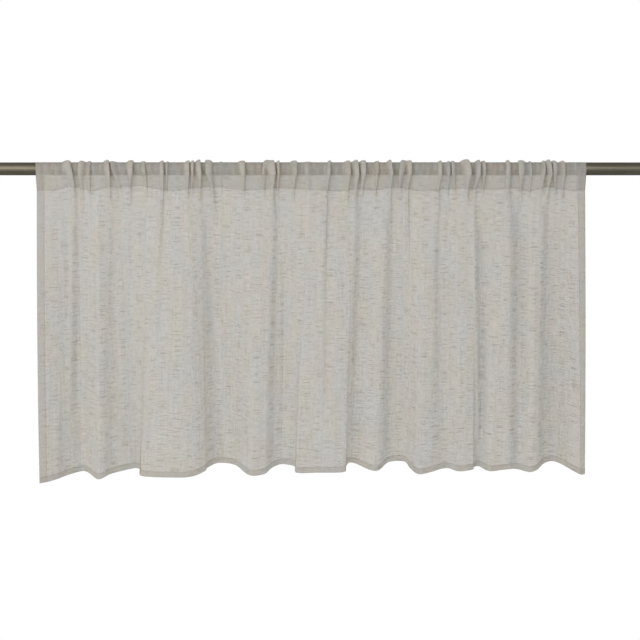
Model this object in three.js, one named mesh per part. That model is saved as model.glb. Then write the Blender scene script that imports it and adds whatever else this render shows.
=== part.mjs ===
// Cafe curtain on a rod: one light cloth panel whose top is turned over into a rod pocket,
// gathered along a plain round rod, hanging in uneven folds to a wavy hem.
// Millimetres, +Z up, +X along the rod, -Y towards the room. The origin is the middle of the rod's axis.

import * as THREE from 'three';

// Driving dimensions

const ROD = { diameter: 25, length: 1360, chamfer: 1, sides: 32 };

const CLOTH = {
  thickness: 1,
  hemExtra: 0.8, // added at the back, where a hem is turned over
  sideHem: 15,
  bottomHem: 12,
  hemStep: 1.5, // the length over which a hem's edge thins out
};

const POCKET = {
  clearance: 1.5, // between the rod and the inside of the cloth
  seamDrop: 42, // from the rod's axis down to the seam
  seamWander: 2.2, // how far the seam rises and dips
  seamWave: 172, // the length of its longer wave along the rod
  seamRipple: 61, // and of its shorter one
  seamStep: 1.5, // from the seam down to the turned edge at the back
};

const DROP = { hem: 606, slant: 6.5 }; // below the axis, and how much lower the left end hangs than the middle

// How much of a hem fold's depth the cloth already has at the seam, and how early it gains the rest below.
const FOLD_GROWTH = { atSeam: 0.12, early: 1.9 };

// A gathered pleat stands out by its reach at the front of the rod, by less of it elsewhere.
const PLEAT_SHARE = { front: 1, top: 0.3, back: 0.25, seam: 0.8 };
const SEAM_SWELL = 0.35; // the share of a pleat's swell and lean that is left where the seam holds it
const TAIL_SPREAD = 1.6; // how much wider a pleat is where its tail ends

// Widest step along the hem, narrowest step along the seam, and the reach up to which a pleat has a plain crest.
const COLUMN = { hemStride: 31, least: 1.1, lowPleat: 6 };
const BODY_LEVELS = [0.66, 0.33, 0.1]; // heights between hem and seam that carry a row of points
const ARC_STEPS = 5; // facets of the pocket round the rod
const HEIGHT_STEP = 0.02; // the share of a height over which the cloth's slope is read
const LEAST_MITRE = 0.4; // keeps the offset in a sharp crease short

// The body's folds from left to right, as turning points of the hanging cloth:
// its place along the seam, its place along the hem, how far the hem comes forward there, and its extra length.
const FOLD_COLUMNS = ['seam', 'hem', 'forward', 'drop'];
const FOLDS = [
  [-530, -539.5, 46, 8],
  [-508, -517, 41, 4.5],
  [-446, -464, -3.5, -0.6],
  [-428, -447, 3.5, 0.6],
  [-412, -426, 26, 7.6],
  [-395, -404, 9, 2.4],
  [-366, -359, -12, -2.9],
  [-326, -344, -4, -0.2],
  [-294, -340, 14.5, 5.5],
  [-262, -275, 23.5, 6.4],
  [-236, -236, 19.5, 5],
  [-219, -213, 5, -1.3],
  [-206, -210, -10, -2.9],
  [-186, -190, -24.5, -7.9],
  [-152, -155, -17.5, -6],
  [-114, -126, 13.5, 5.8],
  [-80, -95, 11.5, 5.1],
  [-62, -78, -5, -2.8],
  [-46, -60, -14.5, -7.1],
  [-30, -33, -8.5, -3.6],
  [2, -30, 6, 4.8],
  [32, 17, 9.5, 4.3],
  [76, 67.5, 7.5, 3.3],
  [92, 70, -5, -3.6],
  [108, 81, -12.5, -9.2],
  [137, 129, 7, 2.5],
  [158, 157, -14.5, -8.8],
  [178, 188, -16, -9.4],
  [195, 198.5, -2.5, 0.7],
  [221, 217, 22, 5.6],
  [260, 271, 1.5, 0.1],
  [290, 296, 13.5, 3.5],
  [311, 324, 9, 1.1],
  [324, 327, -2.5, -0.1],
  [340, 337, -6, -0.7],
  [370, 358, 15, 3.6],
  [404, 403, 5, 1.2],
  [434, 440, 20, 4.9],
  [476, 487, -20, -5.6],
  [515, 535.5, 32, 6.3],
  [530, 544.5, 36, 4.8],
].map(named(FOLD_COLUMNS));

// The gathers on the rod from left to right: place, half-width of the neck, how far the loop swells past the neck,
// how far it stands out, how far its crest leans to the right, and how far below the seam its tail runs.
const PLEAT_COLUMNS = ['at', 'neck', 'loop', 'reach', 'lean', 'tail'];
const PLEATS = [
  [-463, 5, 2, 8, 2, 90],
  [-441, 4.5, 2, 8, -2, 60],
  [-394, 4, 1.5, 10, 4, 70],
  [-372, 5, 1, 5, 0, 40],
  [-348, 5, 1.8, 7, -1, 80],
  [-320, 4, 1.2, 5, 0, 30],
  [-290, 3.5, 1, 8, 3, 220],
  [-237, 3.5, 1.5, 8, 2, 50],
  [-218, 3.5, 1.4, 11, 2.5, 60],
  [-192, 5, 2.4, 11, -2, 80],
  [-139, 2.6, 1, 6, -1, 60],
  [-129, 3, 1.3, 8, 1.5, 30],
  [-91, 3.5, 1.2, 7, 2, 30],
  [-77, 4, 2, 10, 3.5, 90],
  [-34, 3.5, 1.5, 8, 2.5, 50],
  [-6, 8, 0, 3, 0, 30],
  [30, 3, 1, 9, 3, 300],
  [70, 3.8, 1.2, 8, 2.5, 60],
  [85, 3.6, 1.3, 10, 3.5, 80],
  [99, 4, 1.5, 9, 3, 30],
  [150, 3.5, 1.2, 10, 3.5, 90],
  [174, 4, 1.8, 10, -2, 30],
  [187, 3.5, 1.2, 9, 2.5, 200],
  [246, 3, 1, 8, 2.5, 120],
  [279, 3.5, 1.5, 8, -2, 40],
  [299, 4.5, 1.8, 11, 4, 50],
  [315, 3.5, 1.3, 10, 3.5, 40],
  [381, 5.5, 2.2, 9, 0.5, 120],
  [406, 4.5, 2, 9, -2, 60],
  [454, 3, 1, 10, 2.5, 50],
  [469, 3.5, 1.2, 8, 2, 40],
  [484, 5, 0.5, 5.5, -1.5, 30],
].map(named(PLEAT_COLUMNS));

function named(columns) {
  return (row) => Object.fromEntries(columns.map((column, i) => [column, row[i]]));
}

// Shaping functions

const lerp = THREE.MathUtils.lerp;
const clamp01 = (value) => THREE.MathUtils.clamp(value, 0, 1);

// A smooth curve through one column of the fold table, read at a place along the seam.
function throughFolds(column, place) {
  const last = FOLDS.length - 1;
  let i = 0;
  while (i < last - 1 && place > FOLDS[i + 1].seam) i += 1;
  const slopeAt = (k) => {
    const before = FOLDS[Math.max(k - 1, 0)];
    const after = FOLDS[Math.min(k + 1, last)];
    return (after[column] - before[column]) / (after.seam - before.seam);
  };
  const span = FOLDS[i + 1].seam - FOLDS[i].seam;
  const t = clamp01((place - FOLDS[i].seam) / span);
  const [t2, t3] = [t * t, t * t * t];
  return (
    (2 * t3 - 3 * t2 + 1) * FOLDS[i][column] +
    (t3 - 2 * t2 + t) * span * slopeAt(i) +
    (3 * t2 - 2 * t3) * FOLDS[i + 1][column] +
    (t3 - t2) * span * slopeAt(i + 1)
  );
}

// What the gathers add at a place along the seam: how far out, and how far sideways.
// Below the seam the distance thins each pleat out along its own tail.
function pleatsAt(place, belowSeam) {
  let out = 0;
  let aside = 0;
  for (const pleat of PLEATS) {
    const gone = clamp01(belowSeam / pleat.tail);
    const half = pleat.neck * (1 + TAIL_SPREAD * gone);
    const across = (place - pleat.at) / half;
    if (Math.abs(across) >= 1 || gone >= 1) continue;
    const left = (1 - gone) ** 2;
    const crest = Math.cos((across * Math.PI) / 2) ** (1 + gone);
    out += pleat.reach * left * crest;
    aside += left * (pleat.lean * crest + pleat.loop * Math.sin(across * Math.PI));
  }
  return { out, aside };
}

const seamHeight = (place) =>
  -POCKET.seamDrop -
  (POCKET.seamWander / 2) *
    (Math.sin((2 * Math.PI * place) / POCKET.seamWave) + Math.sin((2 * Math.PI * place) / POCKET.seamRipple));

const hemHeight = (place) =>
  -DROP.hem + (DROP.slant * place) / FOLDS[FOLDS.length - 1].seam - throughFolds('drop', place);

const foldGrowth = (down) => 1 - (1 - FOLD_GROWTH.atSeam) * (1 - down) ** FOLD_GROWTH.early;

// The cloth's middle surface

// The body, from the seam (down = 0) to the hem (down = 1).
function bodyPoint(place, down) {
  const z = lerp(seamHeight(place), hemHeight(place), down);
  const { out, aside } = pleatsAt(place, seamHeight(place) - z);
  const forward = throughFolds('forward', place) * foldGrowth(down) + PLEAT_SHARE.seam * out;
  const x = lerp(place, throughFolds('hem', place), down) + SEAM_SWELL * aside;
  return new THREE.Vector3(x, -forward, z);
}

const POCKET_RADIUS = ROD.diameter / 2 + POCKET.clearance + CLOTH.thickness / 2;
// The cloth leaves the round of the rod where a straight fall to the seam touches it.
const LEAVE = Math.asin(POCKET_RADIUS / POCKET.seamDrop); // angle below the horizontal

// The cloth of the pocket at one place: a point of its plain path round the rod (y, z),
// moved by shares of the gathers' reach, along a direction out of the pocket, and of their swell.
function gathered(place, y, z, direction, share, swell) {
  const { out, aside } = pleatsAt(place, 0);
  const reach = (share * out) / direction.length();
  return new THREE.Vector3(place + swell * aside, y + direction.x * reach, z + direction.y * reach);
}

const roundRod = (angle) => new THREE.Vector2(-Math.cos(angle), Math.sin(angle));

// Round the rod, from the front over the top to the back.
function arcPoint(place, turn) {
  const direction = roundRod(lerp(-LEAVE, Math.PI + LEAVE, turn));
  const side = turn < 0.5 ? PLEAT_SHARE.front : PLEAT_SHARE.back;
  const share = lerp(side, PLEAT_SHARE.top, 1 - Math.abs(2 * turn - 1));
  return gathered(place, POCKET_RADIUS * direction.x, POCKET_RADIUS * direction.y, direction, share, share);
}

// Straight between the round of the rod and the seam; at the seam the pleats of both layers stand to the front.
function fallPoint(place, fall, side, share, swell) {
  const leave = roundRod(side < 0 ? -LEAVE : Math.PI + LEAVE);
  const seamY = -throughFolds('forward', place) * FOLD_GROWTH.atSeam;
  const y = lerp(POCKET_RADIUS * leave.x, seamY, fall);
  const z = lerp(POCKET_RADIUS * leave.y, seamHeight(place), fall);
  return gathered(place, y, z, leave.lerp(new THREE.Vector2(side, 0), fall), share, swell);
}

const frontPoint = (place, up) => {
  const share = lerp(PLEAT_SHARE.seam, PLEAT_SHARE.front, up);
  return fallPoint(place, 1 - up, -1, share, lerp(SEAM_SWELL, PLEAT_SHARE.front, up));
};

const backPoint = (place, fall) => {
  const share = lerp(PLEAT_SHARE.back, -PLEAT_SHARE.seam, fall);
  return fallPoint(place, fall, 1, share, lerp(PLEAT_SHARE.back, SEAM_SWELL, fall));
};

// Sections across the panel

// The places along the seam that carry a section: those that shape each pleat,
// the edges of the side hems, and enough between them to follow the hem.
function sectionPlaces() {
  const edge = FOLDS[FOLDS.length - 1].seam;
  const hemEdge = edge - CLOTH.sideHem;
  const pleatPlaces = PLEATS.flatMap(({ at, neck, reach }) => {
    const shares = reach > COLUMN.lowPleat ? [-1, -0.5, 0, 0.5, 1] : [-1, 0, 1];
    return shares.map((share) => at + share * neck);
  });
  const fixed = [-edge, -hemEdge, -hemEdge + CLOTH.hemStep, hemEdge - CLOTH.hemStep, hemEdge, edge];
  const sorted = [...fixed, ...pleatPlaces].sort((a, b) => a - b);
  const places = sorted.filter((place, i) => i === 0 || place - sorted[i - 1] > COLUMN.least);
  for (let i = 1; i < places.length; ) {
    const middle = (places[i - 1] + places[i]) / 2;
    const [from, via, to] = [places[i - 1], middle, places[i]].map((place) => bodyPoint(place, 1));
    if (from.distanceTo(via) + via.distanceTo(to) > COLUMN.hemStride) places.splice(i, 0, middle);
    else i += 1;
  }
  return places.map((place) => ({ place, inSideHem: Math.abs(place) >= hemEdge - 1e-6 }));
}

const SECTIONS = sectionPlaces();

// The direction along one of the surface functions at one place, up the outside of the cloth.
function slope(point, place, along, sign) {
  const [low, high] = [Math.max(along - HEIGHT_STEP, 0), Math.min(along + HEIGHT_STEP, 1)];
  return point(place, high).sub(point(place, low)).multiplyScalar(sign);
}

// The offset that keeps the cloth evenly thick where it turns from one facet to the next.
function mitre(left, right) {
  return left.clone().add(right).divideScalar(Math.max(1 + left.dot(right), LEAST_MITRE));
}

// One row of points across the whole panel: the outer and the inner face of the cloth in each section,
// and the face of a second layer that lies against its inside. The back of a hem is thicker by extra.
function clothRow(point, along, sign, extra = 0, sideExtra = 0) {
  const last = SECTIONS.length - 1;
  const middles = SECTIONS.map(({ place }) => point(place, along(place)));
  const chords = middles.slice(1).map((middle, i) => middle.clone().sub(middles[i]));
  return middles.map((middle, i) => {
    const { place, inSideHem } = SECTIONS[i];
    const up = slope(point, place, along(place), sign);
    const [left, right] = [chords[Math.max(i - 1, 0)], chords[Math.min(i, last - 1)]].map((chord) =>
      chord.clone().cross(up).normalize(),
    );
    const out = mitre(left, right);
    const face = (distance) => middle.clone().addScaledVector(out, distance);
    const half = CLOTH.thickness / 2;
    return {
      outer: face(half),
      inner: face(-half - Math.max(extra, inSideHem ? sideExtra : 0)),
      second: face(-half - CLOTH.thickness),
    };
  });
}

// Closed sections of the panel: the outside of the cloth from the hem up, over the rod and down to the seam,
// its inside from the seam down to the hem, and the tunnel that the rod runs through.
function panelSections() {
  const length = (place) => seamHeight(place) - hemHeight(place);
  const { hemExtra, bottomHem, hemStep } = CLOTH;
  const bodyRow = (along, extra) => clothRow(bodyPoint, along, -1, extra, hemExtra);
  const body = [
    bodyRow(() => 1, hemExtra),
    bodyRow((place) => 1 - bottomHem / length(place), hemExtra),
    bodyRow((place) => 1 - (bottomHem + hemStep) / length(place), 0),
    ...BODY_LEVELS.map((down) => bodyRow(() => down, 0)),
    bodyRow((place) => POCKET.seamStep / length(place), 0),
  ];
  const seam = clothRow(bodyPoint, () => 0, -1);
  const pocket = [clothRow(frontPoint, () => 0.5, 1)];
  for (let i = 0; i <= ARC_STEPS; i += 1) pocket.push(clothRow(arcPoint, () => i / ARC_STEPS, 1));
  pocket.push(clothRow(backPoint, () => 0.5, 1));

  return SECTIONS.map((_, i) => ({
    outside: [...[...body, seam, ...pocket].map((row) => row[i].outer), seam[i].second],
    inside: body.map((row) => row[i].inner).reverse(),
    tunnel: [seam, ...pocket].map((row) => row[i].inner),
  }));
}

// A closed body from like sections, with both ends capped. Facets on the two sides of the cloth
// are split along the same diagonal, so that the sheet keeps its thickness where it twists.
function loft(sections) {
  const points = [];
  const triangles = [];
  const keep = (ring) => ring.map((point) => points.push(point) - 1);
  const rings = sections.map(({ outside, inside, tunnel }) => ({
    outline: keep([...outside, ...inside]),
    tunnel: keep(tunnel),
  }));
  const turned = sections[0].outside.length; // from here the outline runs down the inside
  const skin = (before, after, i, outward) => {
    const next = (i + 1) % before.length;
    const corners = [before[i], before[next], after[next], after[i]];
    const [a, b, c, d] = outward && i >= turned ? [corners[1], corners[2], corners[3], corners[0]] : corners;
    if (outward) triangles.push([a, c, b], [a, d, c]);
    else triangles.push([a, b, c], [a, c, d]);
  };
  for (let s = 1; s < rings.length; s += 1) {
    rings[s].outline.forEach((_, i) => skin(rings[s - 1].outline, rings[s].outline, i, true));
    rings[s].tunnel.forEach((_, i) => skin(rings[s - 1].tunnel, rings[s].tunnel, i, false));
  }
  const cap = ({ outline, tunnel }, flip) => {
    const flat = (ring) => ring.map((corner) => new THREE.Vector2(points[corner].y, points[corner].z));
    const corners = [...outline, ...tunnel];
    for (const [a, b, c] of THREE.ShapeUtils.triangulateShape(flat(outline), [flat(tunnel)])) {
      triangles.push(flip ? [corners[a], corners[c], corners[b]] : [corners[a], corners[b], corners[c]]);
    }
  };
  cap(rings[0], true);
  cap(rings[rings.length - 1], false);
  const geometry = new THREE.BufferGeometry().setFromPoints(points);
  geometry.setIndex(triangles.flat());
  geometry.computeVertexNormals();
  return geometry;
}

// Pieces

const linen = new THREE.MeshStandardMaterial({ color: 0xbdb9b0, roughness: 0.95, metalness: 0 });
const bronze = new THREE.MeshStandardMaterial({ color: 0x746a55, roughness: 0.42, metalness: 0.85 });

function makeRod() {
  const [radius, half] = [ROD.diameter / 2, ROD.length / 2];
  const profile = [
    [0, -half],
    [radius - ROD.chamfer, -half],
    [radius, -half + ROD.chamfer],
    [radius, half - ROD.chamfer],
    [radius - ROD.chamfer, half],
    [0, half],
  ].map(([r, along]) => new THREE.Vector2(r, along));
  const rod = new THREE.Mesh(new THREE.LatheGeometry(profile, ROD.sides), bronze);
  rod.name = 'rod';
  rod.rotation.z = -Math.PI / 2; // the lathe's axis, turned to run along +X
  return rod;
}

function makePanel() {
  const panel = new THREE.Mesh(loft(panelSections()), linen);
  panel.name = 'curtain_panel';
  return panel;
}

const curtain = new THREE.Group();
curtain.add(makeRod(), makePanel());

export default curtain;
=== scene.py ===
"""Cafe curtain on a rod: a semi-sheer linen panel gathered on a bronze rod, with its studio stage."""

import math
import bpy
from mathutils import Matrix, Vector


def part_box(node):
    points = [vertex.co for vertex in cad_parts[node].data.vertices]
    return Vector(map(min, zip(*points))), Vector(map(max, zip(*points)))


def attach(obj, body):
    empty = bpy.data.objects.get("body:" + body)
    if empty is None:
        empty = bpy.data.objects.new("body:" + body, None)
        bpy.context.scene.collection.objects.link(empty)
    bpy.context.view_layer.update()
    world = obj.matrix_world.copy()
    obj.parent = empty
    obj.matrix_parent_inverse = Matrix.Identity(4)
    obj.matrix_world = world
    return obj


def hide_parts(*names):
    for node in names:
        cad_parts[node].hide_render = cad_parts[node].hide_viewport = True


bl_info = {
    "name": "Cafe Curtain",
    "version": (1, 0, 0),
    "blender": (4, 5, 0),
    "location": "View3D > Sidebar > Curtain",
    "description": "Builds a gathered cafe curtain on its rod, and a plain stage for it",
    "category": "Object",
}

import bpy
import numpy as np
from bpy.props import FloatProperty, FloatVectorProperty, IntProperty, PointerProperty
from bpy.types import Operator, Panel, PropertyGroup
from mathutils import Vector

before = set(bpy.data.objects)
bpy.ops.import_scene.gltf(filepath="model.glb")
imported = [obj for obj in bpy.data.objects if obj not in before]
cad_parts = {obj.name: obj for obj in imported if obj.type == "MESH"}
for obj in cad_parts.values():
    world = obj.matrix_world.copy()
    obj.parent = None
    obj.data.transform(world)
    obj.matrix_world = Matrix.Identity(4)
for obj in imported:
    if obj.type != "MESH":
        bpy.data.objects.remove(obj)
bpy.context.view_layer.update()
ROD_LOW, ROD_HIGH = (Vector(corner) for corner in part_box("rod"))

MM = 0.001


# Tables of the hanging shape, in millimetres


def table(columns, *rows):
    """The columns of a table by name, each as one array."""
    return dict(zip(columns.split(), np.array(rows, float).T))


# The body's folds from left to right, as turning points of the hanging cloth: the place along the seam,
# the place along the hem, how far the hem comes forward there, and its extra length.
FOLDS = table(
    "seam hem forward drop",
    (-530, -539.5, 46, 8),
    (-508, -517, 41, 4.5),
    (-446, -464, -3.5, -0.6),
    (-428, -447, 3.5, 0.6),
    (-412, -426, 26, 7.6),
    (-395, -404, 9, 2.4),
    (-366, -359, -12, -2.9),
    (-326, -344, -4, -0.2),
    (-294, -340, 14.5, 5.5),
    (-262, -275, 23.5, 6.4),
    (-236, -236, 19.5, 5),
    (-219, -213, 5, -1.3),
    (-206, -210, -10, -2.9),
    (-186, -190, -24.5, -7.9),
    (-152, -155, -17.5, -6),
    (-114, -126, 13.5, 5.8),
    (-80, -95, 11.5, 5.1),
    (-62, -78, -5, -2.8),
    (-46, -60, -14.5, -7.1),
    (-30, -33, -8.5, -3.6),
    (2, -30, 6, 4.8),
    (32, 17, 9.5, 4.3),
    (76, 67.5, 7.5, 3.3),
    (92, 70, -5, -3.6),
    (108, 81, -12.5, -9.2),
    (137, 129, 7, 2.5),
    (158, 157, -14.5, -8.8),
    (178, 188, -16, -9.4),
    (195, 198.5, -2.5, 0.7),
    (221, 217, 22, 5.6),
    (260, 271, 1.5, 0.1),
    (290, 296, 13.5, 3.5),
    (311, 324, 9, 1.1),
    (324, 327, -2.5, -0.1),
    (340, 337, -6, -0.7),
    (370, 358, 15, 3.6),
    (404, 403, 5, 1.2),
    (434, 440, 20, 4.9),
    (476, 487, -20, -5.6),
    (515, 535.5, 32, 6.3),
    (530, 544.5, 36, 4.8),
)

# The gathers on the rod from left to right: place along the seam, half-width of the neck, how far the loop
# swells past it, how far it stands out, how far its crest leans to the right, how far below the seam its tail
# runs, how far its top stands to the right of its foot, and how much wider it is there.
PLEATS = table(
    "at neck loop reach lean tail top flare",
    (-460.5, 5, 1.2, 9, 8, 90, -12.5, 0.5),
    (-443, 3.4, 1, 7, -5, 50, 3, 0.8),
    (-429.5, 2.4, 0.6, 5, 3, 25, 1, 0.9),
    (-391, 3.6, 1, 11, 7, 70, -5, 0.5),
    (-370.5, 3.4, 0.8, 5, -3, 30, -11.5, 1.2),
    (-350.5, 2, 1.2, 9, 3.5, 60, 2, 2.2),
    (-318.5, 2, 0.6, 5, 3, 30, -6, 1.7),
    (-287.5, 3, 0.8, 8, 4, 220, -1, 0.4),
    (-280, 1.5, 0.4, 4, 2, 15, 3, 0.8),
    (-239.5, 3, 1, 8, 4, 50, 1, 0.5),
    (-230.5, 2.2, 0.6, 8, 3, 30, 1.5, 0.7),
    (-216, 3.2, 1.4, 12, 6.5, 60, -3, 0.5),
    (-190, 3.8, 1.8, 11, -4.5, 80, -7, 0.9),
    (-174, 2, 0.3, 3, 0, 20, 0.5, 0.5),
    (-131.5, 1.8, 0.8, 7, 4, 30, -2.5, 3),
    (-90.5, 2.4, 0.8, 7, -3.5, 30, 4, 0.9),
    (-76, 4.8, 1.4, 10, 7.5, 90, -3, 0.7),
    (-65, 2.2, 0.6, 8, 3.5, 40, 1, 0.5),
    (-34.5, 1.8, 1, 8, 5, 50, 0.5, 2.5),
    (-6, 8, 0, 3, 0, 30, 0, 0),
    (30, 2.6, 0.8, 9, 3.5, 300, 5, 0.4),
    (69.5, 3.4, 1, 8, 5.5, 60, 0, 0.8),
    (85, 4, 1, 11, 7, 80, -1, 0.5),
    (97.5, 3.8, 1.2, 9, 4.5, 30, 2, 0.9),
    (124.5, 1.8, 0.6, 6, 3.5, 25, 2, 1.7),
    (152.5, 3, 0.8, 11, 6, 90, -3, 0.4),
    (172, 3.4, 1.4, 10, -4.5, 30, 7.5, 0.8),
    (185.5, 3.4, 1, 9, 4.5, 200, 3, 0.7),
    (246, 2.6, 0.6, 8, 3.5, 120, 2, 0.5),
    (263.5, 2.2, 0.6, 6, 2.5, 40, 1, 0.5),
    (278, 2.4, 0.8, 6, -3, 40, -4, 0.8),
    (300, 3.8, 1.4, 13, 8.5, 50, -5, 1.3),
    (315.5, 3.2, 1, 11, 6, 40, 5, 0.7),
    (332, 1.8, 0.6, 7, 3.5, 30, -1, 1.4),
    (380, 7, 2.6, 10, 0, 120, -1, -0.45),
    (406.5, 2.2, 1.4, 9, -3, 60, 0, 2.2),
    (422.5, 2.2, 0.5, 5, 2.5, 25, -1.5, 0.4),
    (445, 2.4, 0.6, 8, 3.5, 30, 2, 0.5),
    (456.5, 3.4, 0.8, 12, 7, 50, -2, 0.4),
    (473, 3.2, 1, 8, -3.5, 40, -4, 0.8),
    (485.5, 2.6, 0.8, 7, 3, 30, -2, 0.9),
)

# The height of the pocket's seam, which rises and dips with the gathers: places along it and the rise there.
SEAM = table(
    "at rise",
    (-530, 0),
    (-488, 1),
    (-469, 7),
    (-446, 4),
    (-425, -2),
    (-392, 5.5),
    (-357, 6),
    (-334, 8.5),
    (-295, 2),
    (-264, -2),
    (-241, 2),
    (-222, 5.7),
    (-176, 5.7),
    (-152, 2),
    (-106, 0),
    (-73, 4.3),
    (-21, 2),
    (52, -2),
    (95, 2),
    (118, -1.6),
    (164, 6.5),
    (210, -2),
    (261, 1.6),
    (311, 4),
    (355, 0),
    (388, 4),
    (425, -2),
    (454, 6.7),
    (481, 2),
    (508, -2),
    (530, 0),
)

# The narrow creases of the body, which turn away to the right: place along the seam and along the hem,
# the shares of the way down between which each one shows, its half-width and its depth.
CREASES = table(
    "seam hem first last half depth",
    (-478, -484, 0.0, 0.3, 5, 1.4),
    (-453, -480, 0.0, 0.8, 7, 3.2),
    (-478, -500, 0.75, 1.0, 7, 3.2),
    (-426, -437, 0.0, 1.0, 5, 1.6),
    (-388, -404, 0.1, 1.0, 6, 2.3),
    (-350, -366, 0.0, 0.35, 5, 1.1),
    (-289, -303, 0.1, 0.5, 5, 1.7),
    (-207, -203, 0.1, 1.0, 8, 2.6),
    (-190, -196, 0.0, 0.3, 5, 0.9),
    (-66, -84, 0.0, 1.0, 6, 2.8),
    (-56, -58, 0.25, 0.75, 4, 1.8),
    (28, 26, 0.05, 0.75, 5, 2.2),
    (92, 80, 0.0, 0.95, 7, 2.8),
    (154, 146, 0.0, 1.0, 6, 1.9),
    (188, 200, 0.0, 0.4, 4, 1.2),
    (244, 248, 0.0, 0.75, 5, 2.2),
    (318, 340, 0.02, 0.9, 7, 5.6),
    (358, 384, 0.0, 0.2, 5, 1.0),
    (394, 409, 0.0, 1.0, 10, 10),
    (454, 461, 0.0, 1.0, 6.5, 4.2),
    (488, 516, 0.0, 0.25, 5, 0.8),
)

# Slight unevenness of the cloth between its folds, and the crinkles of its heading: the length of a wave
# across the panel, how far it drifts sideways on its way down or up, where it starts, and its depth.
RIPPLES = table(
    "wave drift start depth",
    (47, 9, 0.0, 0.4),
    (29, -6, 1.7, 0.25),
    (83, 15, 0.6, 0.5),
    (19, 4, 2.9, 0.14),
    (12.5, 3, 0.4, 0.07),
)
CRINKLES = table(
    "wave drift start depth",
    (7.3, 4, 0.3, 0.15),
    (11.7, -6, 2.1, 0.25),
    (17.9, 7, 4.0, 0.3),
)


# The yarns of the weave and its uneven sheerness: how many there are in a metre of width and of height, the
# detail and roughness of their noise, and their share in how dense the cloth is.
YARNS = {
    "weft": (42, 600, 0.0, 0.5, 0.17),
    "short_weft": (130, 640, 0.5, 0.5, 0.17),
    "warp": (430, 40, 0.5, 0.5, 0.13),
    "streaks": (210, 7, 1.0, 0.5, 0.12),
    "patches": (14, 24, 3.0, 0.6, 0.06),
}

# The thick yarns among them: the strength at which one shows, how sharply, and how much it counts.
SLUBS = {
    "weft": (0.13, 8, 0.95),
    "short_weft": (0.13, 8, 0.6),
    "warp": (0.14, 6, 0.35),
}

# The faint patches of colour: how many in a metre of width and of height, the strength at which one shows,
# and how sharply.
TONES = {
    "warm": (30, 13, 0.38, 4.5),
    "cool": (25, 10, 0.4, 5),
}

# The noises of the rod's finish: how many waves there are in a metre along it and across it, and the detail
# and roughness of each.
FINISH = {
    "drawn": (6, 900, 3.0, 0.6),
    "cloudy": (16, 40, 3.0, 0.6),
    "specks": (420, 900, 1.5, 0.5),
}

# The floor's width and depth, and how far its middle is in front of the rod, in metres.
FLOOR_SIZE, FLOOR_FORWARD = (4, 2.4), 0.2

# The lamps: where each stands in metres, its width and height, and the rays that don't see it.
LAMPS = {
    "front": ((-1.45, -2.4, 0.55), (2.4, 1.6), "visible_glossy"),
    "back": ((0.4, 2.5, 0.5), (2.4, 1.6), "visible_glossy"),
    "key": ((-1.3, -1.9, 0.7), (1.2, 1.3), "visible_diffuse"),
    "fill": ((0.95, -2.5, 0.95), (0.9, 0.6), "visible_diffuse"),
}


# Sizes and colours that a user would change


def length(name, default, description):
    return FloatProperty(
        name=name, description=description, default=default, subtype="DISTANCE", unit="LENGTH"
    )


def share(name, default, description):
    return FloatProperty(
        name=name, description=description, default=default, min=0, max=1, subtype="FACTOR"
    )


def power(name, default, description):
    return FloatProperty(name=name, description=description, default=default, unit="POWER")


def colour(name, default, description):
    return FloatVectorProperty(
        name=name, description=description, default=default, min=0, max=1, subtype="COLOR"
    )


class CurtainCloth(PropertyGroup):
    """Sizes and look of the panel."""

    clearance: length("Pocket clearance", 0.2 * MM, "Gap between the rod and the cloth of its pocket")
    seam_drop: length("Seam drop", 41 * MM, "From the rod's axis down to the pocket's seam")
    seam_wander: share("Seam wander", 0.9, "How far the seam rises and dips")
    hem_drop: length("Hem drop", 606 * MM, "From the rod's axis down to the middle of the hem")
    slant: length("Slant", 6.5 * MM, "How much lower the left end hangs than the middle")
    side_hem: length("Side hem", 15 * MM, "Width of the hem down each side")
    bottom_hem: length("Bottom hem", 12 * MM, "Height of the hem along the bottom")
    layer: length("Layer gap", 0.7 * MM, "Distance between two layers of cloth that are sewn together")
    turn_in: length("Turned edge", 8 * MM, "Raw edge that is turned in above the pocket's seam")
    stride: length("Mesh stride", 2.1 * MM, "Distance between the mesh's columns along the cloth")
    yarn: length("Yarn pitch", 0.95 * MM, "Distance between two yarns of the weave")
    tint: colour("Cloth", (0.573, 0.551, 0.463), "Colour of the cloth")
    warm: colour("Warm patches", (0.598, 0.54, 0.471), "Colour of its faint warm patches")
    cool: colour("Cool patches", (0.57, 0.546, 0.507), "Colour of its faint cool patches")
    # The gathered-cloth colour is painted light: a lighter copy of the cloth colour that stands in for the
    # light that lit pleat crests and stacked layers send back.
    dense: colour("Gathered cloth", (0.69, 0.655, 0.605), "Colour where the cloth lies many times over")
    slub: colour("Slubs", (0.432, 0.409, 0.36), "Colour of its thick yarns")
    cover: share("Cover", 0.825, "Share of what is behind that one layer of the cloth hides")
    hem_thins: share("Sheerer hems", 0.45, "How much sheerer the turned-back layer of a hem is")
    pocket_thins: share("Sheerer pocket", 0.5, "How much sheerer the back of the rod pocket is")
    # This makes the gathers more opaque, and also sets how strongly they are painted lighter as painted
    # light.
    gather_thickens_and_paints_light: share("Denser gathers", 0.2, "How much denser the cloth is where it is gathered")


class CurtainRod(PropertyGroup):
    """Sizes and look of the rod."""

    sides: IntProperty(name="Sides", description="Facets round the rod", default=96, min=24)
    chamfer: length("Edge", 1 * MM, "Width of the rounded edge at each end")
    tint: colour("Bronze", (0.115, 0.104, 0.079), "Colour of the bronze finish")
    worn: colour("Rubbed bronze", (0.156, 0.14, 0.105), "Colour where the finish is rubbed")
    speck: colour("Specks", (0.12, 0.1, 0.07), "Colour of the small specks in the finish")
    gloss: share("Roughness", 0.53, "Mean roughness of the finish")


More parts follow.
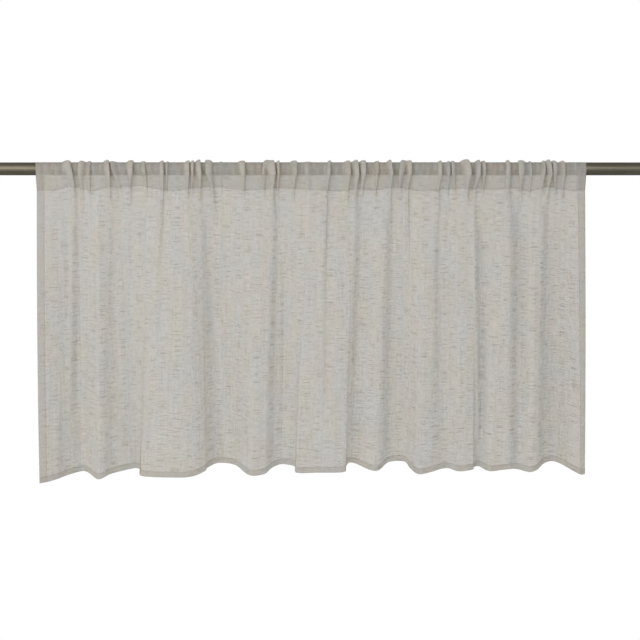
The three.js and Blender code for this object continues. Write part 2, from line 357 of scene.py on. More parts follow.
class CurtainStitches(PropertyGroup):
    """Sizes and look of the sewing."""

    pitch: length("Stitch pitch", 3 * MM, "From one stitch to the next")
    span: length("Stitch length", 2.1 * MM, "Length of one stitch")
    thick: length("Thread", 0.38 * MM, "Thickness of the thread")
    inset: length("Inset", 1.5 * MM, "From a hem's inner edge to its line of stitches")
    tint: colour("Thread colour", (0.5, 0.46, 0.4), "Colour of the thread")
    pale: colour("Twist", (0.625, 0.575, 0.5), "Colour of its twisted strands where they catch the light")


class CurtainStage(PropertyGroup):
    """Camera, light and floor."""

    distance: length("Camera distance", 3.0, "From the camera to the middle of the picture")
    pitch: FloatProperty(
        name="Camera pitch",
        description="How far the camera looks down",
        default=math.radians(12),
        subtype="ANGLE",
        unit="ROTATION",
    )
    lens: FloatProperty(
        name="Lens", description="Focal length", default=85.6, subtype="DISTANCE_CAMERA"
    )
    aim: FloatVectorProperty(
        name="Aim",
        description="Middle of the picture",
        default=(0.0174, 0, -0.2983),
        subtype="XYZ",
        unit="LENGTH",
    )
    floor_drop: length("Floor drop", 1.5, "From the rod's axis down to the floor")
    floor_tint: colour("Floor", (0.84, 0.84, 0.83), "Colour of the floor")
    floor_pale: colour("Floor patches", (0.87, 0.87, 0.86), "Colour of its paler patches")
    front: power("Front light", 20, "Strength of the soft front light")
    back: power("Back light", 14, "Strength of the soft back light")
    key: power("Key light", 38, "Strength of the light at the left that shows on the rod")
    fill: power("Fill light", 34, "Strength of the light at the right that shows on the rod")
    sky: share("Surround", 0.55, "Strength of the light that the white surround gives")


# The shape of the hanging cloth, in millimetres

EDGE = FOLDS["seam"][-1]
ALONG = np.linspace(-EDGE, EDGE, 24001)  # fine steps along the seam
FOLD_AT_SEAM = 0.12  # the share of a fold's depth that the cloth has at the seam
FOLD_EARLY = 1.9  # how early below the seam it gains the rest
PLEAT_FRONT, PLEAT_TOP, PLEAT_BACK, PLEAT_SEAM = 1, 0.45, 0.25, 0.8  # shares of a pleat's reach
TOP_SWELL = 0.5  # the share of a pleat's swell and lean that is left over the rod
SEAM_SWELL = 0.3  # the share of a pleat's swell and lean that is left at the seam
TAIL_SPREAD = 2.6  # how much wider a pleat is where its tail ends
TOP_SHARE = 0.45  # the share of the way from the seam to the rod's top that is round the rod
CREASE_FADE = 0.09  # the share of the drop over which a crease starts and ends
UNEVEN_EARLY = 6  # how early below the seam the creases and ripples are full
SWAY, SWAY_RATE = 1.3, 2.1  # how much and how fast a wave sways along its drift
STEP_ACROSS, STEP_ALONG = 0.3, 0.004  # to the points beside one that give the direction out of the cloth
HEADING_LEVEL = 0.6  # the share of the way up the pocket's front where its gathered width is measured
HEADING_RUN = 0.6  # the heading's share, against the hem's, in how the yarns are spread over the panel

# How dense the cloth is, which also sets how much painted light makes its gathers lighter
GATHER_REACH = 8  # how far out a pleat stands whose cloth is fully gathered
TAIL_DENSER = 0.5  # how much of a pleat's density its tail has
CRINKLE_DENSER = 0.55  # how much of it the crinkles round the rod have
ROD_THINS = 0.07  # how much sheerer the cloth is where it lies on the rod between the gathers
ROD_FROM, ROD_ALL = 0.6, 0.9  # the shares of the way up the pocket's front between which it comes on the rod
SIDE_THINS = 0.1  # how much sheerer the turned-back side hems are on the rod
EDGE_THINS = 0.93  # how much sheerer the turned-in raw edge is
SEAM_DRAWN, HEM_DRAWN, SIDE_DRAWN = 0.4, 1.0, 0.3  # how strongly the lines of sewing show
ACROSS_HALF, DOWN_HALF = 1.0 * MM, 0.9 * MM  # half-widths in metres of those across the cloth and down it

# Rows and columns of the panel's mesh
FOLD_BEHIND = 0.5  # how many layers back the cloth lies at the very fold of a hem
HEM_STEPS = np.array((1, 0.66, 0.33, 0.06))  # over a turned-back hem, as shares of its size
ABOVE_HEM = 1.6  # the first row above the bottom hem, as a share of it
LOWER_START, LOWER_ROWS = 28, 54  # height of the first plain row over the hem, and how many there are
UPPER_START, UPPER_ROWS = 55, 13  # depth of the first closer row under the seam, and how many there are
ROW_GAP = 5  # between the plain rows and the closer ones
FRONT_STEPS, ROUND_STEPS = 10, 16  # of the pocket's front and back, and of its round
EDGE_FALLS = (0.9, 0.78)  # how far down the pocket's back the rows of its turned-in edge lie
EDGE_BEHIND = 0.6  # how many layers that edge lies behind the pocket's back

# The lines of stitches along the cloth
LINE_INSET = 1  # how far short of the panel's sides a line across it ends
LINE_START = 0.004  # how far short of the seam and the hem a line down it ends, as a share of the drop
WIDE_STEPS, TALL_STEPS = 16001, 4001  # fine steps along a line across the cloth and down it

# One stitch: two pointed ends, 0 and 7, and two sections of three points between them
STITCH_POINTS = 8
STITCH_SHIFTS = (-0.5, -0.25, 0.25, 0.5)  # of its ends and sections, as shares of its length
STITCH_SUNK, STITCH_LIFT = 0.1, 0.05  # how deep its ends are in the cloth, and how high its sides lie on it
STITCH_FACES = (
    (0, 1, 2), (0, 2, 3), (0, 3, 1),
    (1, 4, 5, 2), (2, 5, 6, 3), (1, 3, 6, 4),
    (4, 7, 5), (5, 7, 6), (4, 6, 7),
)


def mix(a, b, t):
    return a + (b - a) * t


def ease(t):
    """From 0 to 1, level at both ends."""
    t = np.clip(t, 0, 1)
    return t * t * (3 - 2 * t)


def smooth(knots, values, place):
    """A smooth curve through values at knots, read at places along the seam."""
    order = np.arange(len(knots))
    before, after = np.maximum(order - 1, 0), np.minimum(order + 1, order[-1])
    slopes = (values[after] - values[before]) / (knots[after] - knots[before])
    i = np.clip(np.searchsorted(knots, place, side="right") - 1, 0, len(knots) - 2)
    span = knots[i + 1] - knots[i]
    t = np.clip((place - knots[i]) / span, 0, 1)
    return (
        (2 * t**3 - 3 * t**2 + 1) * values[i]
        + (t**3 - 2 * t**2 + t) * span * slopes[i]
        + (3 * t**2 - 2 * t**3) * values[i + 1]
        + (t**3 - t**2) * span * slopes[i + 1]
    )


def through_folds(column, place):
    return smooth(FOLDS["seam"], FOLDS[column], place)


def seam_place(hem):
    """The place along the seam that hangs over a place along the hem."""
    fine = np.linspace(-EDGE, EDGE, 4001)
    return np.interp(hem, through_folds("hem", fine), fine)


def waves_at(waves, place, share):
    """The sum of a table of waves across the cloth, a share of the way along their drift."""
    total = 0
    for wave, drift, start, depth in zip(*waves.values()):
        sway = SWAY * np.sin(SWAY_RATE * share + start)
        total = total + depth * np.sin(2 * np.pi * (place + drift * share) / wave + start + sway)
    return total


def pleats_at(place, below, up):
    """How far out and aside the gathers move the cloth, a depth below the seam or a share up to the top, and
    how much of it is gathered."""
    shape = np.broadcast(place, below, up).shape
    out, aside, gathered = np.zeros(shape), np.zeros(shape), np.zeros(shape)
    for at, neck, loop, reach, lean, tail, top, flare in zip(*PLEATS.values()):
        gone = np.clip(below / tail, 0, 1)
        wide = 1 + flare * up
        across = np.clip((place - at - top * up) / (neck * wide * (1 + TAIL_SPREAD * gone)), -1, 1)
        left = (1 - gone) ** 2
        crest = np.cos(across * np.pi / 2) ** (1 + gone)
        out += reach * left * crest
        aside += left * (lean * crest + loop * wide * np.sin(across * np.pi))
        gathered = np.maximum(gathered, left * np.sqrt(crest) * min(1, reach / GATHER_REACH))
    return out, aside, gathered


def creases_at(place, down):
    """How far forward the creases move the body: a ridge to the left of each and a trough to the right."""
    total = 0
    for seam, hem, first, last, half, depth in zip(*CREASES.values()):
        across = (place - mix(seam, seam_place(hem), down)) / half
        shown = ease((down - first) / CREASE_FADE + 0.5) * ease((last - down) / CREASE_FADE + 0.5)
        total = total - depth * shown * across * np.exp((1 - across**2) / 2)
    return total


class Hang:
    """The middle surface of the cloth as it hangs on the rod."""

    def __init__(self, cloth):
        self.radius = ROD_HIGH.z / MM + cloth.clearance / MM
        self.drop = cloth.seam_drop / MM
        self.wander = cloth.seam_wander
        self.hem_drop = cloth.hem_drop / MM
        self.slant = cloth.slant / MM
        # The cloth leaves the rod at this angle below the horizontal.
        self.leave = math.asin(self.radius / self.drop)
        self.body_length = self.hem_drop - self.drop
        self.front_length = (self.drop**2 - self.radius**2) ** 0.5
        self.round_length = self.radius * (math.pi + 2 * self.leave)

    def seam(self, place):
        return self.wander * smooth(SEAM["at"], SEAM["rise"], place) - self.drop

    def hem(self, place):
        return -self.hem_drop + self.slant * place / EDGE - through_folds("drop", place)

    def body(self, place, down):
        """From the seam (down = 0) to the hem (down = 1)."""
        z = mix(self.seam(place), self.hem(place), down)
        out, aside, _ = pleats_at(place, self.seam(place) - z, 0)
        growth = 1 - (1 - FOLD_AT_SEAM) * (1 - down) ** FOLD_EARLY
        uneven = waves_at(RIPPLES, place, down) + creases_at(place, down)
        uneven = uneven * ease(UNEVEN_EARLY * down)
        forward = through_folds("forward", place) * growth + PLEAT_SEAM * out + uneven
        x = mix(place, through_folds("hem", place), down) + SEAM_SWELL * aside
        return np.stack(np.broadcast_arrays(x, -forward, z), -1)

    def pleated(self, place, y, z, way_y, way_z, reach, swell, up):
        """Points of the plain path round the rod, moved by shares of the gathers out of the pocket."""
        out, aside, _ = pleats_at(place, 0, up)
        depth = CRINKLES["depth"].sum()
        crinkle = up * (depth + waves_at(CRINKLES, place, up)) / 2
        moved = (reach * out + crinkle * np.abs(reach)) / np.hypot(way_y, way_z)
        x = place + swell * aside
        return np.stack(np.broadcast_arrays(x, y + way_y * moved, z + way_z * moved), -1)

    def arc(self, place, turn):
        """Round the rod, from the front over the top to the back."""
        angle = mix(-self.leave, np.pi + self.leave, turn)
        way_y, way_z = -np.cos(angle), np.sin(angle)
        side = np.where(turn < 0.5, PLEAT_FRONT, PLEAT_BACK)
        risen = 1 - np.abs(2 * turn - 1)
        reach, swell = mix(side, PLEAT_TOP, risen), mix(side, TOP_SWELL, risen)
        y, z = self.radius * way_y, self.radius * way_z
        return self.pleated(place, y, z, way_y, way_z, reach, swell, mix(1 - TOP_SHARE, 1, risen))

    def fall(self, place, fall, side, reach, swell):
        """Straight between the round of the rod and the seam, at the front (side -1) or the back."""
        leave_y, leave_z = side * math.cos(self.leave), -math.sin(self.leave)
        seam_y = -through_folds("forward", place) * FOLD_AT_SEAM
        y = mix(self.radius * leave_y, seam_y, fall)
        z = mix(self.radius * leave_z, self.seam(place), fall)
        way_y, way_z = mix(leave_y, side, fall), mix(leave_z, 0, fall)
        return self.pleated(place, y, z, way_y, way_z, reach, swell, (1 - TOP_SHARE) * (1 - fall))

    def front(self, place, up):
        reach, swell = mix(PLEAT_SEAM, PLEAT_FRONT, up), mix(SEAM_SWELL, PLEAT_FRONT, up)
        return self.fall(place, 1 - up, -1, reach, swell)

    def back(self, place, fall):
        reach, swell = mix(PLEAT_BACK, -PLEAT_SEAM, fall), mix(PLEAT_BACK, SEAM_SWELL, fall)
        return self.fall(place, fall, 1, reach, swell)


def out_of(surface, place, along, sign):
    """The direction out of the cloth on one of the surfaces above."""
    left, right = np.maximum(place - STEP_ACROSS, -EDGE), np.minimum(place + STEP_ACROSS, EDGE)
    low, high = np.clip(along - STEP_ALONG, 0, 1), np.clip(along + STEP_ALONG, 0, 1)
    across = surface(right, along) - surface(left, along)
    up = (surface(place, high) - surface(place, low)) * sign
    way = np.cross(across, up)
    return way / np.linalg.norm(way, axis=-1, keepdims=True)


def distances(points):
    """The running length along a row of points, from 0."""
    steps = np.linalg.norm(np.diff(points, axis=0), axis=-1)
    return np.concatenate(([0], np.cumsum(steps)))


# Mesh helpers


def new_piece(name, points, faces, material):
    """A smooth mesh object at the origin, from points in millimetres."""
    mesh = bpy.data.meshes.new(name)
    mesh.from_pydata((points * MM).tolist(), [], faces)
    mesh.polygons.foreach_set("use_smooth", np.ones(len(mesh.polygons), bool))
    mesh.materials.append(material)
    mesh.validate()
    piece = bpy.data.objects.new(name, mesh)
    bpy.context.scene.collection.objects.link(piece)
    return piece


def grid_faces(rows, columns):
    """The quads of a grid of points that is stored row by row."""
    corner = np.arange(rows * columns).reshape(rows, columns)
    quads = np.stack((corner[:-1, :-1], corner[:-1, 1:], corner[1:, 1:], corner[1:, :-1]), -1)
    return quads.reshape(-1, 4)


def deselect_all():
    bpy.ops.object.select_all(action="DESELECT")


# Materials


class Wire:
    """One socket of a node tree. Arithmetic on it adds Math nodes."""

    def __init__(self, tree, socket=None):
        self.tree, self.socket = tree, socket

    def node(self, kind, settings=None, sockets=None, output=0):
        """Adds a node by its type, settings and the values or links of its sockets, and gives an output."""
        made = self.tree.nodes.new(kind)
        for name, value in (settings or {}).items():
            setattr(made, name, value)
        for name, value in (sockets or {}).items():
            if isinstance(value, Wire):
                self.tree.links.new(value.socket, made.inputs[name])
            else:
                made.inputs[name].default_value = value
        return Wire(self.tree, made.outputs[output]) if len(made.outputs) else Wire(self.tree)

    def math(self, operation, *values, clamp=False):
        settings = {"operation": operation, "use_clamp": clamp}
        return self.node("ShaderNodeMath", settings, dict(enumerate(values)))

    def __add__(self, other):
        return self.math("ADD", self, other)

    __radd__ = __add__

    def __sub__(self, other):
        return self.math("SUBTRACT", self, other)

    def __rsub__(self, other):
        return self.math("SUBTRACT", other, self)

    def __mul__(self, other):
        return self.math("MULTIPLY", self, other)

    __rmul__ = __mul__

    def within(self):
        """The value, kept between 0 and 1."""
        return self.math("ADD", self, 0.0, clamp=True)

    def size(self):
        return self.math("ABSOLUTE", self)

    def sine(self):
        return self.math("SINE", self)

    def noise(self, scale, detail=2.0, roughness=0.5):
        """Noise on this vector, with its own scale along each axis."""
        placed = self.node("ShaderNodeMapping", None, {"Vector": self, "Scale": scale})
        sockets = {"Vector": placed, "Scale": 1.0, "Detail": detail, "Roughness": roughness}
        return self.node("ShaderNodeTexNoise", None, sockets)

    def blend(self, first, second):
        """A colour between two, by this factor."""
        return self.node("ShaderNodeMix", {"data_type": "RGBA"}, {0: self, 6: first, 7: second}, 2)

    def surface(self, shader):
        self.node("ShaderNodeOutputMaterial", None, {"Surface": shader})

    def bump(self, strength, distance):
        return self.node("ShaderNodeBump", None, {"Strength": strength, "Distance": distance, "Height": self})


def new_material(name):
    """An empty material and the wire that its nodes are made with."""
    material = bpy.data.materials.new(name)
    material.use_nodes = True
    material.node_tree.nodes.clear()
    return material, Wire(material.node_tree)


def finish_material(wire, sockets):
    wire.surface(wire.node("ShaderNodeBsdfPrincipled", None, sockets))


def opaque(tint):
    return (*tint, 1.0)


def line(wire, place, half):
    """1 on a line across the cloth, falling to 0 at its half-width."""
    return (1 - ((wire - place) * (1 / half)).size()).within()


def linen(cloth, seams, sides):
    """Semi-sheer plain weave: slubby yarns both ways, faint patches of colour, drawn-in lines of sewing, and
    painted light that makes the gathers lighter.
    """
    material, wire = new_material("semi_sheer_linen")
    flat = wire.node("ShaderNodeUVMap", {"uv_map": "Flat"})
    across = flat.node("ShaderNodeSeparateXYZ", None, {0: flat}, 0)
    along = flat.node("ShaderNodeSeparateXYZ", None, {0: flat}, 1)
    path = wire.node("ShaderNodeAttribute", {"attribute_name": "Path"}, None, 2)
    thins = wire.node("ShaderNodeAttribute", {"attribute_name": "Thins"}, None, 2)

    yarns = {}
    for name, (wide, high, detail, roughness, _) in YARNS.items():
        yarns[name] = flat.noise((wide, high, 1), detail, roughness) - 0.5
    slubs = [((yarns[name] - least) * sharp).within() * part for name, (least, sharp, part) in SLUBS.items()]
    thick = sum(slubs).within()
    dense = sum(yarns[name] * part for name, (*_, part) in YARNS.items()) + thick * 0.1

    turns = 2 * math.pi / cloth.yarn
    weave = (across * turns).sine() * (along * turns).sine()
    sewn = sum(line(path, place, ACROSS_HALF) * strength for place, strength in seams)
    sewn = (sewn + sum(line(across, place, DOWN_HALF) * SIDE_DRAWN for place in sides)).within()

    tint = opaque(cloth.tint)
    for name, (wide, high, least, sharp) in TONES.items():
        shown = (flat.noise((wide, high, 1), 1.0) - least) * sharp
        tint = shown.within().blend(tint, opaque(getattr(cloth, name)))
    # Painted light: where Thins is below 0, on the gathers, the colour is blended towards the lighter
    # gathered-cloth colour.
    tint = (thins * -1.5).within().blend(tint, opaque(cloth.dense))
    tint = (thick * 0.5 + sewn * 0.4).within().blend(tint, opaque(cloth.slub))
    height = weave * 0.3 + yarns["weft"] * 2.0 + yarns["warp"] * 1.2 + thick * 0.6 - sewn * 2.5
    finish_material(
        wire,
        {
            "Base Color": tint,
            "Roughness": 0.95 - thick * 0.12,
            "Specular IOR Level": 0.15,
            "Alpha": (dense + weave * 0.03 + sewn * 0.09 + cloth.cover).within() * (1 - thins),
            "Normal": height.bump(0.15, 0.0004),
        },
    )
    return material


def bronze(rod):
    """Satin bronze, drawn lengthways and unevenly darkened."""
    material, wire = new_material("antique_bronze")
    place = wire.node("ShaderNodeTexCoord", None, None, 3)
    noises = {}
    for name, (along, across, detail, roughness) in FINISH.items():
        noises[name] = place.noise((along, across, across), detail, roughness)
    drawn, cloudy = noises["drawn"], noises["cloudy"]
    specks = ((noises["specks"] - 0.62) * 8).within()
    rubbed = ((cloudy - 0.4) * 2.2 + (drawn - 0.5) * 0.8).within()
    tint = rubbed.blend(opaque(rod.tint), opaque(rod.worn))
    tint = (specks * 0.4).blend(tint, opaque(rod.speck))
    finish_material(
        wire,
        {
            "Base Color": tint,
            "Metallic": 1.0,
            "Roughness": (drawn - 0.5) * 0.22 + specks * 0.12 + rod.gloss,
            "Normal": (drawn + specks * 0.3).bump(0.12, 0.0004),
        },
    )
    return material


def thread(stitches):
    """Matt cotton thread with a slight twist, and painted highlights on its strands."""
    material, wire = new_material("sewing_thread")
    place = wire.node("ShaderNodeTexCoord", None, None, 3)
    twist = place.noise((2600, 2600, 2600), 2.0, 0.5)
    finish_material(
        wire,
        {
            # Painted highlight: noise blends the thread towards the paler colour where its strands would
            # catch the light.
            "Base Color": ((twist - 0.35) * 2.5).within().blend(opaque(stitches.tint), opaque(stitches.pale)),
            "Roughness": 0.85 + (twist - 0.5) * 0.2,
            "Normal": twist.bump(0.4, 0.0002),
        },
    )
    return material


def pale_floor(stage):
    """Plain off-white studio floor."""
    material, wire = new_material("pale_floor")
    place = wire.node("ShaderNodeTexCoord", None, None, 3)
    cloudy = place.noise((2, 2, 2), 3.0, 0.5)
    tint = cloudy.blend(opaque(stage.floor_tint), opaque(stage.floor_pale))
    finish_material(wire, {"Base Color": tint, "Roughness": 0.8 + cloudy * 0.1})
    return material


def white_surround(sky):
    """White where it is seen, and dimmer as a light."""
    world = bpy.data.worlds.new("white_surround")
    world.use_nodes = True
    world.node_tree.nodes.clear()
    wire = Wire(world.node_tree)
    seen = wire.node("ShaderNodeLightPath", None, None, "Is Camera Ray")
    strength = seen * (1 - sky) + sky
    white = wire.node("ShaderNodeBackground", None, {"Color": (1, 1, 1, 1), "Strength": strength})
    wire.node("ShaderNodeOutputWorld", None, {"Surface": white})
    return world


# Pieces


def heading_run(hang, place):
    """The distance along the gathered heading from its left edge."""
    return distances(hang.front(place, np.full_like(place, HEADING_LEVEL)))


def cloth_run(hang, place):
    """The distance along the panel from its left edge, between those along its hem and its heading."""
    hem = distances(hang.body(place, np.ones_like(place)))
    return mix(hem, heading_run(hang, place), HEADING_RUN)


def cloth_columns(hang, stride):
    """Places along the seam that are evenly spaced along the gathered cloth."""
    run = cloth_run(hang, ALONG)
    return np.interp(np.linspace(0, run[-1], round(run[-1] / stride) + 1), run, ALONG)


class PanelRows:
    """The rows of points of the panel, from its turned-up bottom hem to the turned-in edge of its pocket."""

    def __init__(self, cloth, hang):
        self.cloth, self.hang = cloth, hang
        self.side, self.bottom = cloth.side_hem / MM, cloth.bottom_hem / MM
        self.layer = cloth.layer / MM
        self.points, self.ways, self.paths, self.thins = [], [], [], []
        self.level_rows = 0  # how many rows there are below the round of the pocket
        # Columns: the turned-back left hem, the panel, the turned-back right hem.
        inner = cloth_columns(hang, cloth.stride / MM)
        run = cloth_run(hang, inner)
        turned = HEM_STEPS * self.side
        ends = np.ones(len(turned))
        self.width = run[-1]
        self.place = np.concatenate((-EDGE + turned, inner, EDGE - turned[::-1]))
        self.across = np.concatenate((-turned, run, self.width + turned[::-1]))
        self.folded = np.concatenate((ends, np.zeros(len(inner)), ends))
        self.folded[[len(turned), -len(turned) - 1]] = FOLD_BEHIND
        self.drop = hang.seam(self.place) - hang.hem(self.place)

    def add(self, surface, along, sign, path, behind=0.0, thin=0.0, gathered=0.0, sides=None):
        """One row, a share along one of the cloth's surfaces, with its distance up the flat cloth."""
        along = np.broadcast_to(np.asarray(along, float), self.place.shape)
        way = out_of(surface, self.place, along, sign)
        sides = self.cloth.hem_thins if sides is None else sides
        # Gathered cloth gets a negative Thins: more opaque, and given painted light (a lighter colour) in the
        # material.
        denser_and_lit = self.cloth.gather_thickens_and_paints_light * gathered * (1 - self.folded)
        self.points.append(surface(self.place, along) - way * (self.layer * (self.folded + behind))[:, None])
        self.ways.append(way)
        self.paths.append(np.full_like(self.place, path))
        self.thins.append(np.maximum(sides * self.folded, thin) - denser_and_lit)

    def add_bottom_hem(self):
        hang = self.hang
        for height in HEM_STEPS * self.bottom:
            path = -hang.body_length - height
            self.add(hang.body, 1 - height / self.drop, -1, path, 1, self.cloth.hem_thins)
        self.add(hang.body, 1, -1, -hang.body_length, FOLD_BEHIND)

    def add_body(self):
        full = self.hang.body_length
        hem = np.append(HEM_STEPS[::-1], ABOVE_HEM) * self.bottom
        lower = np.linspace(LOWER_START, full - UPPER_START - ROW_GAP, LOWER_ROWS)
        upper = np.linspace(full - UPPER_START, full, UPPER_ROWS)
        for height in np.concatenate((hem, lower, upper)):
            down = 1 - height / full
            gathered = TAIL_DENSER * pleats_at(self.place, down * self.drop, 0)[2]
            self.add(self.hang.body, down, -1, height - full, gathered=gathered)

    def add_pocket(self):
        """Its front, its round over the rod, its back and its raw edge, turned in and up between the two."""
        hang, seam_way, pocket_thins = self.hang, self.ways[-1], self.cloth.pocket_thins
        for up in np.linspace(0, 1, FRONT_STEPS + 1)[1:-1]:
            gathered = self.dense(up * (1 - TOP_SHARE), up)
            on_rod = ease((up - ROD_FROM) / (ROD_ALL - ROD_FROM))
            thin = ROD_THINS * on_rod * (1 - np.clip(gathered, 0, 1))
            self.add(hang.front, up, 1, up * hang.front_length, 0, thin, gathered, SIDE_THINS)
        self.level_rows = len(self.points)
        for turn in np.linspace(0, 1, ROUND_STEPS + 1):
            behind = ease(3 * turn - 1)
            gathered = self.dense(1 - TOP_SHARE * abs(2 * turn - 1), 1) * (1 - behind)
            thin = mix(ROD_THINS * (1 - np.clip(gathered, 0, 1)), pocket_thins, behind)
            path = hang.front_length + turn * hang.round_length
            self.add(hang.arc, turn, 1, path, 0, thin, gathered, SIDE_THINS)
        far = hang.front_length + hang.round_length
        for fall in np.linspace(0, 1, FRONT_STEPS + 1)[1:]:
            self.add(hang.back, fall, 1, far + fall * hang.front_length, 0, pocket_thins)
            self.points[-1] -= seam_way * (self.layer * fall**2)
        for fall in EDGE_FALLS:
            self.add(hang.back, fall, 1, far + (2 - fall) * hang.front_length, EDGE_BEHIND, EDGE_THINS)
            self.points[-1] -= seam_way * (self.layer * fall**2)

    def dense(self, up, crinkled):
        """How much the pocket's cloth is gathered, a share of the way up to its top."""
        crinkles = waves_at(CRINKLES, self.place, up) / CRINKLES["depth"].sum()
        return pleats_at(self.place, 0, up)[2] + CRINKLE_DENSER * crinkled * crinkles

    def sewing(self):
        """Where lines of sewing lie up the flat cloth, with their strengths, and across it, in metres."""
        pocket_end = 2 * self.hang.front_length + self.hang.round_length
        hem = self.bottom - self.hang.body_length
        seams = [(0.0, SEAM_DRAWN), (pocket_end * MM, SEAM_DRAWN), (hem * MM, HEM_DRAWN)]
        return seams, [self.side * MM, (self.width - self.side) * MM]

    def lay_flat(self, mesh):
        """Gives the mesh the map of its weave, its sheerness and its distance up the flat cloth."""
        paths = np.stack(self.paths)
        # The yarns across the body and the pocket's front lie level, so they follow the height there.
        level = np.stack(self.points)[..., 2] + self.hang.drop
        level[self.level_rows :] = paths[self.level_rows :]
        spread = np.stack((np.broadcast_to(self.across, level.shape), level), -1).reshape(-1, 2) * MM
        corner = np.empty(len(mesh.loops), np.int32)
        mesh.loops.foreach_get("vertex_index", corner)
        flat = mesh.uv_layers.new(name="Flat")
        flat.data.foreach_set("uv", spread[corner].astype(np.float32).ravel())
        for name, values in (("Thins", np.stack(self.thins)), ("Path", paths * MM)):
            attribute = mesh.attributes.new(name, "FLOAT", "POINT")
            attribute.data.foreach_set("value", values.astype(np.float32).ravel())


class CURTAIN_OT_panel(Operator):
    """Build the gathered panel with its pocket and hems"""

    bl_idname = "curtain.panel"
    bl_label = "Panel"

    def execute(self, context):
        cloth = context.scene.curtain_cloth
        rows = PanelRows(cloth, Hang(cloth))
        rows.add_bottom_hem()
        rows.add_body()
        rows.add_pocket()
        grid = np.stack(rows.points)
        faces = grid_faces(*grid.shape[:2])[:, ::-1].tolist()
        panel = new_piece("linen_panel", grid.reshape(-1, 3), faces, linen(cloth, *rows.sewing()))
        rows.lay_flat(panel.data)
        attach(panel, "root")
        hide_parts("curtain_panel")
        return {"FINISHED"}


def stitch_line(hang, sewing, place, down):
    """A line of stitches along the body: low arches with pointed ends in the cloth, eight points each."""
    pitch, span, thick = sewing.pitch / MM, sewing.span / MM, sewing.thick / MM
    run = distances(hang.body(place, down))
    middles = np.arange(pitch, run[-1] - pitch, pitch)

    def at(distance):
        return np.interp(distance, run, place), np.interp(distance, run, down)

    first, second, third, last = (hang.body(*at(middles + shift * span)) for shift in STITCH_SHIFTS)
    way = out_of(hang.body, *at(middles), -1)
    aside = np.cross(way, last - first)
    aside *= (thick / 2) / np.linalg.norm(aside, axis=-1, keepdims=True)
    low, high, sunk = way * STITCH_LIFT, way * (thick + STITCH_SUNK), way * STITCH_SUNK
    sections = [(middle + aside + low, middle + high, middle - aside + low) for middle in (second, third)]
    return np.stack((first - sunk, *sections[0], *sections[1], last - sunk), 1).reshape(-1, 3)


class CURTAIN_OT_stitches(Operator):
    """Sew the pocket's seam and the hems with small raised stitches"""

    bl_idname = "curtain.stitches"
    bl_label = "Stitches"

    def execute(self, context):
        cloth, sewing = context.scene.curtain_cloth, context.scene.curtain_stitches
        hang = Hang(cloth)
        side, bottom = (cloth.side_hem - sewing.inset) / MM, (cloth.bottom_hem - sewing.inset) / MM
        wide = np.linspace(-EDGE + LINE_INSET, EDGE - LINE_INSET, WIDE_STEPS)
        tall = np.linspace(LINE_START, 1 - LINE_START, TALL_STEPS)
        lines = (
            (wide, np.zeros_like(wide)),
            (wide, np.full_like(wide, 1 - bottom / hang.body_length)),
            (np.full_like(tall, -EDGE + side), tall),
            (np.full_like(tall, EDGE - side), tall),
        )
        points = np.concatenate([stitch_line(hang, sewing, place, down) for place, down in lines])
        first = np.arange(0, len(points), STITCH_POINTS)[:, None]
        faces = [corners for face in STITCH_FACES for corners in (first + np.array(face)).tolist()]
        stitches = new_piece("stitches", points, faces, thread(sewing))
        deselect_all()
        stitches.select_set(True)
        context.view_layer.objects.active = stitches
        bpy.ops.object.mode_set(mode="EDIT")
        bpy.ops.mesh.select_all(action="SELECT")
        bpy.ops.mesh.normals_make_consistent(inside=False)
        bpy.ops.object.mode_set(mode="OBJECT")
        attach(stitches, "root")

        flat_width = heading_run(hang, ALONG)[-1] * MM + 2 * cloth.side_hem
        flat_height = (hang.body_length + 2 * hang.front_length + hang.round_length) * MM
        flat = (flat_width, flat_height + cloth.bottom_hem + cloth.turn_in)
        return {"FINISHED"}


class CURTAIN_OT_rod(Operator):
    """Build the round rod with softened ends"""

    bl_idname = "curtain.rod"
    bl_label = "Rod"

    def execute(self, context):
        rod = context.scene.curtain_rod
        deselect_all()
        bpy.ops.mesh.primitive_cylinder_add(
            vertices=rod.sides,
            radius=ROD_HIGH.z,
            depth=ROD_HIGH.x - ROD_LOW.x,
            location=(ROD_LOW + ROD_HIGH) / 2,
            rotation=(0, math.pi / 2, 0),
        )
        piece = context.active_object
        piece.name = piece.data.name = "bronze_rod"
        bpy.ops.object.transform_apply(location=True, rotation=True, scale=True)
        edge = piece.modifiers.new("Rounded ends", "BEVEL")
        edge.width, edge.segments = rod.chamfer, 4
        edge.limit_method, edge.angle_limit = "ANGLE", math.radians(60)
        bpy.ops.object.modifier_apply(modifier=edge.name)
        bpy.ops.object.shade_smooth_by_angle(angle=math.radians(40))
        piece.data.materials.append(bronze(rod))
        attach(piece, "root")
        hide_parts("rod")
        return {"FINISHED"}


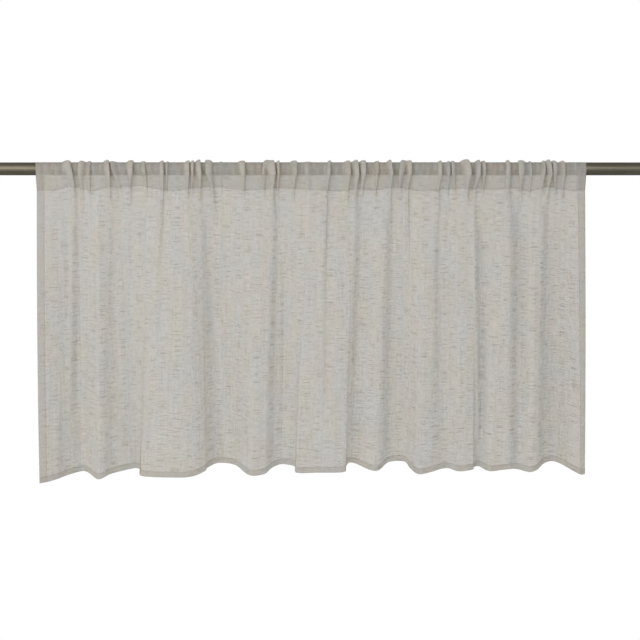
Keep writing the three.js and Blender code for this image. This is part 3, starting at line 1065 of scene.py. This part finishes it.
class CURTAIN_OT_stage(Operator):
    """Set the floor, the light and the camera"""

    bl_idname = "curtain.stage"
    bl_label = "Stage"

    def execute(self, context):
        scene, stage = context.scene, context.scene.curtain_stage
        deselect_all()
        bpy.ops.mesh.primitive_plane_add(size=1, location=(0, -FLOOR_FORWARD, -stage.floor_drop))
        floor = context.active_object
        floor.name = "floor"
        floor.scale = (*FLOOR_SIZE, 1)
        bpy.ops.object.transform_apply(location=True, rotation=True, scale=True)
        floor.data.materials.append(pale_floor(stage))

        scene.world = white_surround(stage.sky)
        aim = Vector(stage.aim)
        for name, (place, size, unseen) in LAMPS.items():
            lamp = self.lamp(name, Vector(place), aim, getattr(stage, name), size)
            setattr(lamp, unseen, False)

        back = Vector((0, -math.cos(stage.pitch), math.sin(stage.pitch)))
        camera = bpy.data.cameras.new("camera")
        camera.lens, camera.sensor_width, camera.sensor_fit = stage.lens, 36, "HORIZONTAL"
        seat = bpy.data.objects.new("camera", camera)
        seat.location = aim + back * stage.distance
        seat.rotation_euler = back.to_track_quat("Z", "Y").to_euler()
        scene.collection.objects.link(seat)
        scene.camera = seat
        scene.view_settings.view_transform = "Standard"
        return {"FINISHED"}

    def lamp(self, name, place, aim, strength, size):
        light = bpy.data.lights.new(name, "AREA")
        light.shape, light.energy = "RECTANGLE", strength
        light.size, light.size_y = size
        lamp = bpy.data.objects.new(name, light)
        lamp.location = place
        lamp.rotation_euler = (place - aim).to_track_quat("Z", "Y").to_euler()
        bpy.context.scene.collection.objects.link(lamp)
        return lamp


class CURTAIN_PT_sidebar(Panel):
    """Everything that makes up the curtain"""

    bl_label = "Cafe Curtain"
    bl_space_type = "VIEW_3D"
    bl_region_type = "UI"
    bl_category = "Curtain"

    def draw(self, context):
        for settings, operator in PARTS:
            box = self.layout.box()
            group = getattr(context.scene, settings)
            for name in group.bl_rna.properties.keys():
                if name not in ("rna_type", "name"):
                    box.prop(group, name)
            box.operator(operator)


PARTS = (
    ("curtain_rod", "curtain.rod"),
    ("curtain_cloth", "curtain.panel"),
    ("curtain_stitches", "curtain.stitches"),
    ("curtain_stage", "curtain.stage"),
)
GROUPS = (CurtainRod, CurtainCloth, CurtainStitches, CurtainStage)
CLASSES = (
    *GROUPS,
    CURTAIN_OT_rod,
    CURTAIN_OT_panel,
    CURTAIN_OT_stitches,
    CURTAIN_OT_stage,
    CURTAIN_PT_sidebar,
)


def register():
    for kind in CLASSES:
        bpy.utils.register_class(kind)
    for (settings, _), group in zip(PARTS, GROUPS):
        setattr(bpy.types.Scene, settings, PointerProperty(type=group))


def unregister():
    for settings, _ in PARTS:
        delattr(bpy.types.Scene, settings)
    for kind in reversed(CLASSES):
        bpy.utils.unregister_class(kind)


def main():
    register()
    bpy.ops.curtain.rod()
    bpy.ops.curtain.panel()
    bpy.ops.curtain.stitches()
    bpy.ops.curtain.stage()


if __name__ == "__main__":
    main()
